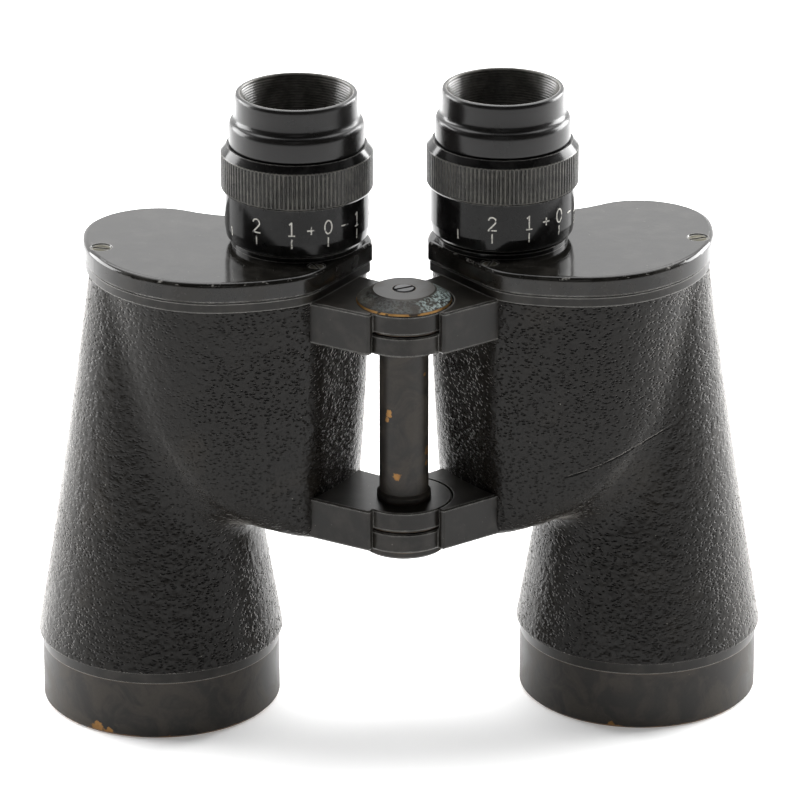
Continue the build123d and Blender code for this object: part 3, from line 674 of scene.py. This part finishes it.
def body_grid():
    """Points of the leather's surface, rows from the rim down to the objective ring."""
    length = np.concatenate([[0], np.cumsum(np.hypot(np.diff(ring_x, append=ring_x[0]),
                                                     np.diff(ring_y, append=ring_y[0])))])
    mean = 0.5 * length / length[-1] + 0.5 * np.arange(len(length)) / (len(length) - 1)
    theta = np.interp(np.arange(COLUMNS) / COLUMNS, mean, np.linspace(0, 2 * pi, len(length)))
    c, s = np.cos(theta), np.sin(theta)

    def value(r, z):
        return smooth_form(OBJECTIVE_X + r * c, AXIS_Y + r * s, z)

    top_r = root(lambda r: value(r, np.full(COLUMNS, RIM_BOTTOM)),
                 np.full(COLUMNS, 5.0), np.full(COLUMNS, 66.0))
    foot_r = np.full(COLUMNS, CONE_FOOT_R)
    first = np.arctan2(RIM_BOTTOM - HEART_Z, top_r - HEART_R)
    last = np.arctan2(LEATHER_BOTTOM - HEART_Z, foot_r - HEART_R)
    share = np.linspace(0, 1, PROFILE_STEPS)[:, None]
    phi = first + (last - first) * share
    reach = root(lambda t: value(HEART_R + t * np.cos(phi), HEART_Z + t * np.sin(phi)),
                 np.full(phi.shape, 2.0), np.full(phi.shape, 95.0))
    r = HEART_R + reach * np.cos(phi)
    z = HEART_Z + reach * np.sin(phi)
    r[0], z[0], r[-1], z[-1] = top_r, RIM_BOTTOM, foot_r, LEATHER_BOTTOM
    out_r, out_z = np.empty((ROWS, COLUMNS)), np.empty((ROWS, COLUMNS))
    for k in range(COLUMNS):
        run = np.concatenate([[0], np.cumsum(np.hypot(np.diff(r[:, k]), np.diff(z[:, k])))])
        at = np.linspace(0, run[-1], ROWS)
        out_r[:, k], out_z[:, k] = np.interp(at, run, r[:, k]), np.interp(at, run, z[:, k])
    return np.stack([OBJECTIVE_X + out_r * c, AXIS_Y + out_r * s, out_z], axis=-1)


def grid_normals(grid):
    down = np.gradient(grid, axis=0)
    along = np.roll(grid, -1, axis=1) - np.roll(grid, 1, axis=1)
    normal = np.cross(along, down)
    normal /= np.linalg.norm(normal, axis=-1, keepdims=True) + 1e-12
    outward = (normal * (grid - np.array([OBJECTIVE_X, AXIS_Y, HEART_Z]))).sum(-1).mean()
    return normal if outward > 0 else -normal


def leather_grain(point):
    """Height of the pebbled surface, in millimetres, at a point in millimetres."""
    coarse = noise.noise(Vector(point) * 0.45)
    pebbles = noise.noise(Vector((point[0] * 1.1, point[1] * 1.1, point[2] * 0.8)))
    return 0.07 * coarse + 0.075 * pebbles


GRAIN_FADE, GRAIN_SINK = 1.5, 0.08
skin = body_grid()
skin_normals = grid_normals(skin)


def leather_piece(side):
    sign = SIDES[side]
    points = skin.reshape(-1, 3) * np.array([sign, 1, 1])
    normals = skin_normals.reshape(-1, 3) * np.array([sign, 1, 1])
    bottom_fade = np.clip((points[:, 2] - LEATHER_BOTTOM) / GRAIN_FADE, 0, 1)
    top_fade = np.clip((RIM_BOTTOM - points[:, 2]) / GRAIN_FADE, 0, 1)
    height = np.array([leather_grain(p) for p in points]) * bottom_fade * top_fade - GRAIN_SINK
    points = points + normals * height[:, None]
    rim = points[:COLUMNS] - normals[:COLUMNS] * LEATHER
    foot = points[-COLUMNS:] - normals[-COLUMNS:] * LEATHER
    points = np.concatenate([rim, points, foot])
    obj = mesh_object(f"{side}_leather", points.tolist(), grid_faces(ROWS + 2, COLUMNS, sign > 0),
                      leather_look)
    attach(obj, f"{side}_telescope")
    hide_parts(f"{side}_leather_cover")
    return obj


for side in SIDES:
    leather_piece(side)


SKIN_DEPTHS, SKIN_END = (-1.1, -0.45), 0.05


def casting_piece(side):
    """The casting as the CAD has it, without the skin under the leather, which the rolled
    leather edge would otherwise cut into."""
    sign = SIDES[side]
    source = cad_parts[f"{side}_body_casting"]
    obj = source.copy()
    obj.data = source.data.copy()
    obj.name = f"{side}_casting_metal"
    scene.collection.objects.link(obj)
    mesh = bmesh.new()
    mesh.from_mesh(obj.data)
    mesh.verts.ensure_lookup_table()
    place = np.array([v.co for v in mesh.verts]) / MM
    depth = sharp_form(place[:, 0] * sign, place[:, 1], place[:, 2])
    deepest, shallowest = SKIN_DEPTHS
    covered = ((depth > deepest) & (depth < shallowest) & (place[:, 2] > LEATHER_BOTTOM - SKIN_END)
               & (place[:, 2] < RIM_BOTTOM + SKIN_END))
    doomed = [f for f in mesh.faces if all(covered[v.index] for v in f.verts)
              and abs(f.normal.z) < 0.999]
    bmesh.ops.delete(mesh, geom=doomed, context="FACES")
    mesh.to_mesh(obj.data)
    mesh.free()
    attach(obj, f"{side}_telescope")
    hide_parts(f"{side}_body_casting")
    return obj


for side in SIDES:
    casting_piece(side)


# ------------------------------------------------------------------ eyecups
def turned(name, profile, x, y, look, sectors=160):
    """A lathed ring about a vertical axis, from a closed profile of (radius, height)."""
    turns = [2 * pi * k / sectors for k in range(sectors)]
    points = [(x + r * cos(t), y + r * sin(t), z) for r, z in profile + profile[:1] for t in turns]
    return mesh_object(name, points, grid_faces(len(profile) + 1, sectors, True), look)


def rounded(points, radius, steps=4):
    """A polyline with its inner corners rounded."""
    result = [points[0]]
    for before, corner, after in zip(points, points[1:], points[2:]):
        b, c, a = (np.array(p, float) for p in (before, corner, after))
        reach = min(radius, 0.45 * np.linalg.norm(b - c), 0.45 * np.linalg.norm(a - c))
        start = c + (b - c) / np.linalg.norm(b - c) * reach
        end = c + (a - c) / np.linalg.norm(a - c) * reach
        for k in range(steps + 1):
            t = k / steps
            result.append(tuple((1 - t) ** 2 * start + 2 * t * (1 - t) * c + t * t * end))
    return result + [points[-1]]


def eyecup_profile(base):
    """Outside from foot to lip, then down the ring-grooved inside."""
    outside = rounded([(17.95, 26.55), (18.55, 26.55), (18.68, 27.3), (18.68, 32.1), (18.3, 33.2),
                       (17.35, 33.9), (16.95, 34.9), (16.88, 37.5), (16.88, 40.3), (16.6, 41.1),
                       (16.0, 41.27), (15.5, 41.2)], 0.9)
    inside = []
    grooves, pitch, lip = 13, 0.76, 40.7
    for k in range(grooves):
        z = lip - k * pitch
        shrink = 0.35 * (k / grooves)
        inside += [(15.35 - shrink, z), (15.35 - shrink, z - 0.18 * pitch),
                   (15.72 - shrink, z - 0.45 * pitch), (15.72 - shrink, z - 0.72 * pitch)]
    floor = [(14.9, 30.95), (17.15, 30.95), (17.15, 30.85), (17.95, 30.85)]
    return [(r, base + z) for r, z in outside + inside + floor]


for side, sign in SIDES.items():
    cup = turned(f"{side}_eyecup_moulded", eyecup_profile(EYEPIECE_BASE[side]), sign * EYE_X, AXIS_Y,
                 cup_look)
    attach(cup, f"{side}_focus")
    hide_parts(f"{side}_eyecup")


# ------------------------------------------------------------------ dioptre scales
def arc_points(cx, cy, rx, ry, start, end, count):
    turns = np.radians(np.linspace(start, end, count))
    return [(cx + rx * cos(t), cy + ry * sin(t)) for t in turns]


GLYPHS = {
    "0": [arc_points(0, 0, 1.05, 1.9, 90, 450, 25)],
    "1": [[(-0.6, 1.35), (0, 1.9), (0, -1.9)], [(-0.8, -1.9), (0.8, -1.9)]],
    "2": [arc_points(0, 0.85, 1.05, 1.05, 165, -35, 12) + [(-1.05, -1.9), (1.15, -1.9)]],
    "+": [[(-1.0, 0), (1.0, 0)], [(0, -1.0), (0, 1.0)]],
    "-": [[(-1.1, 0), (1.1, 0)]],
    "tick": [[(0, -1.25), (0, 1.25)]],
}
DIAL_STROKE, DIAL_PROUD = 0.2, 0.07
SKIRT_R, SKIRT_FOOT_R, SKIRT_TAPER_TOP, SKIRT_TAPER_FOOT = 20.0, 19.6, 3.5, 0.7
DEGREES_PER_DIOPTRE = 29.4
DIAL_ZERO = {"left": 23.4, "right": 47.2}       # degrees round from the front
TICK_HEIGHT, NUMBER_HEIGHT, SIGN_HEIGHT = 4.1, 8.4, 7.9
PLUS_AT, MINUS_AT = 0.48, -0.52                 # in dioptres


def dial(side):
    """Dioptre scale of one focus ring, filled white, with a tick for each dioptre."""
    sign, base = SIDES[side], EYEPIECE_BASE[side]
    zero = DIAL_ZERO[side]
    points, faces = [], []

    def wrap(u, v, turn, height):
        above = height + v
        share = min(1.0, max(0.0, (above - SKIRT_TAPER_FOOT) / (SKIRT_TAPER_TOP - SKIRT_TAPER_FOOT)))
        r = SKIRT_FOOT_R + (SKIRT_R - SKIRT_FOOT_R) * share + DIAL_PROUD
        t = radians(turn) + u / r
        return sign * EYE_X + r * sin(t), AXIS_Y - r * cos(t), base + above

    def stroke(line, turn, height, half):
        for (u0, v0), (u1, v1) in zip(line, line[1:]):
            span = max(1e-6, float(np.hypot(u1 - u0, v1 - v0)))
            nu, nv = -(v1 - v0) / span * half, (u1 - u0) / span * half
            eu, ev = (u1 - u0) / span * half * 0.6, (v1 - v0) / span * half * 0.6
            first = len(points)
            points.extend(wrap(u, v, turn, height) for u, v in (
                (u0 - nu - eu, v0 - nv - ev), (u1 - nu + eu, v1 - nv + ev),
                (u1 + nu + eu, v1 + nv + ev), (u0 + nu - eu, v0 + nv - ev)))
            faces.append((first, first + 1, first + 2, first + 3))

    for value in range(-3, 4):
        turn = zero - value * DEGREES_PER_DIOPTRE
        stroke(GLYPHS["tick"][0], turn, TICK_HEIGHT, DIAL_STROKE)
        if abs(value) < 3:
            for line in GLYPHS[str(abs(value))]:
                stroke(line, turn, NUMBER_HEIGHT, DIAL_STROKE)
    for glyph, value in (("+", PLUS_AT), ("-", MINUS_AT)):
        for line in GLYPHS[glyph]:
            stroke(line, zero - value * DEGREES_PER_DIOPTRE, SIGN_HEIGHT, DIAL_STROKE)
    obj = mesh_object(f"{side}_dioptre_scale", points, faces, dial_look, smooth=False)
    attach(obj, f"{side}_focus")


for side in SIDES:
    dial(side)


# ------------------------------------------------------------------ stage, light and camera
floor_look = Shade("studio_floor", 0.9)
floor_look.set("Base Color", (0.93, 0.93, 0.93, 1.0))
floor_look.set("Specular IOR Level", 0.1)
floor_look.set("Emission Color", (1.0, 1.0, 1.0, 1.0))
floor_look.set("Emission Strength", 0.24)
bpy.ops.mesh.primitive_plane_add(size=30.0, location=(0, 0, -0.0001))
floor = bpy.context.object
floor.name = "floor"
floor.data.materials.append(floor_look.material)


def softbox(name, place, target, width, height, power):
    light = bpy.data.lights.new(name, "AREA")
    light.shape = "RECTANGLE"
    light.size, light.size_y, light.energy = width, height, power
    obj = bpy.data.objects.new(name, light)
    obj.location = place
    obj.rotation_euler = (Vector(target) - Vector(place)).to_track_quat("-Z", "Y").to_euler()
    scene.collection.objects.link(obj)


softbox("overhead", (0.0, 0.75, 1.6), (0, 0.35, 0), 2.6, 1.6, 55.0)
softbox("left_bank", (-1.3, 0.65, 0.45), (0, 0, 0.08), 1.0, 0.8, 32.0)
softbox("right_bank", (1.3, 0.7, 0.45), (0, 0, 0.08), 1.0, 0.8, 44.0)
softbox("front_fill", (-0.15, -2.3, 1.5), (0, 0, 0.08), 1.0, 0.7, 1.5)

world = bpy.data.worlds.new("studio")
scene.world = world
world.use_nodes = True
sky = world.node_tree.nodes
direction = sky.new("ShaderNodeTexCoord").outputs["Generated"]
split = sky.new("ShaderNodeSeparateXYZ")
world.node_tree.links.new(direction, split.inputs[0])
front = sky.new("ShaderNodeMapRange")
front.interpolation_type = "SMOOTHSTEP"
front.inputs["From Min"].default_value = -0.35
front.inputs["From Max"].default_value = 0.75
front.inputs["To Min"].default_value = 0.05
front.inputs["To Max"].default_value = 2.1
world.node_tree.links.new(split.outputs["Y"], front.inputs["Value"])
world.node_tree.links.new(front.outputs["Result"], sky["Background"].inputs["Strength"])
sky["Background"].inputs["Color"].default_value = (1.0, 1.0, 1.0, 1.0)

lens = bpy.data.cameras.new("camera")
lens.lens, lens.sensor_width = 243.36, 36.0
lens.clip_end = 50.0
camera = bpy.data.objects.new("camera", lens)
camera.location = (-0.0659, -1.3968, 0.660)
camera.rotation_euler = Vector((0.0436, 0.9245, -0.3786)).to_track_quat("-Z", "Y").to_euler()
scene.collection.objects.link(camera)
scene.camera = camera
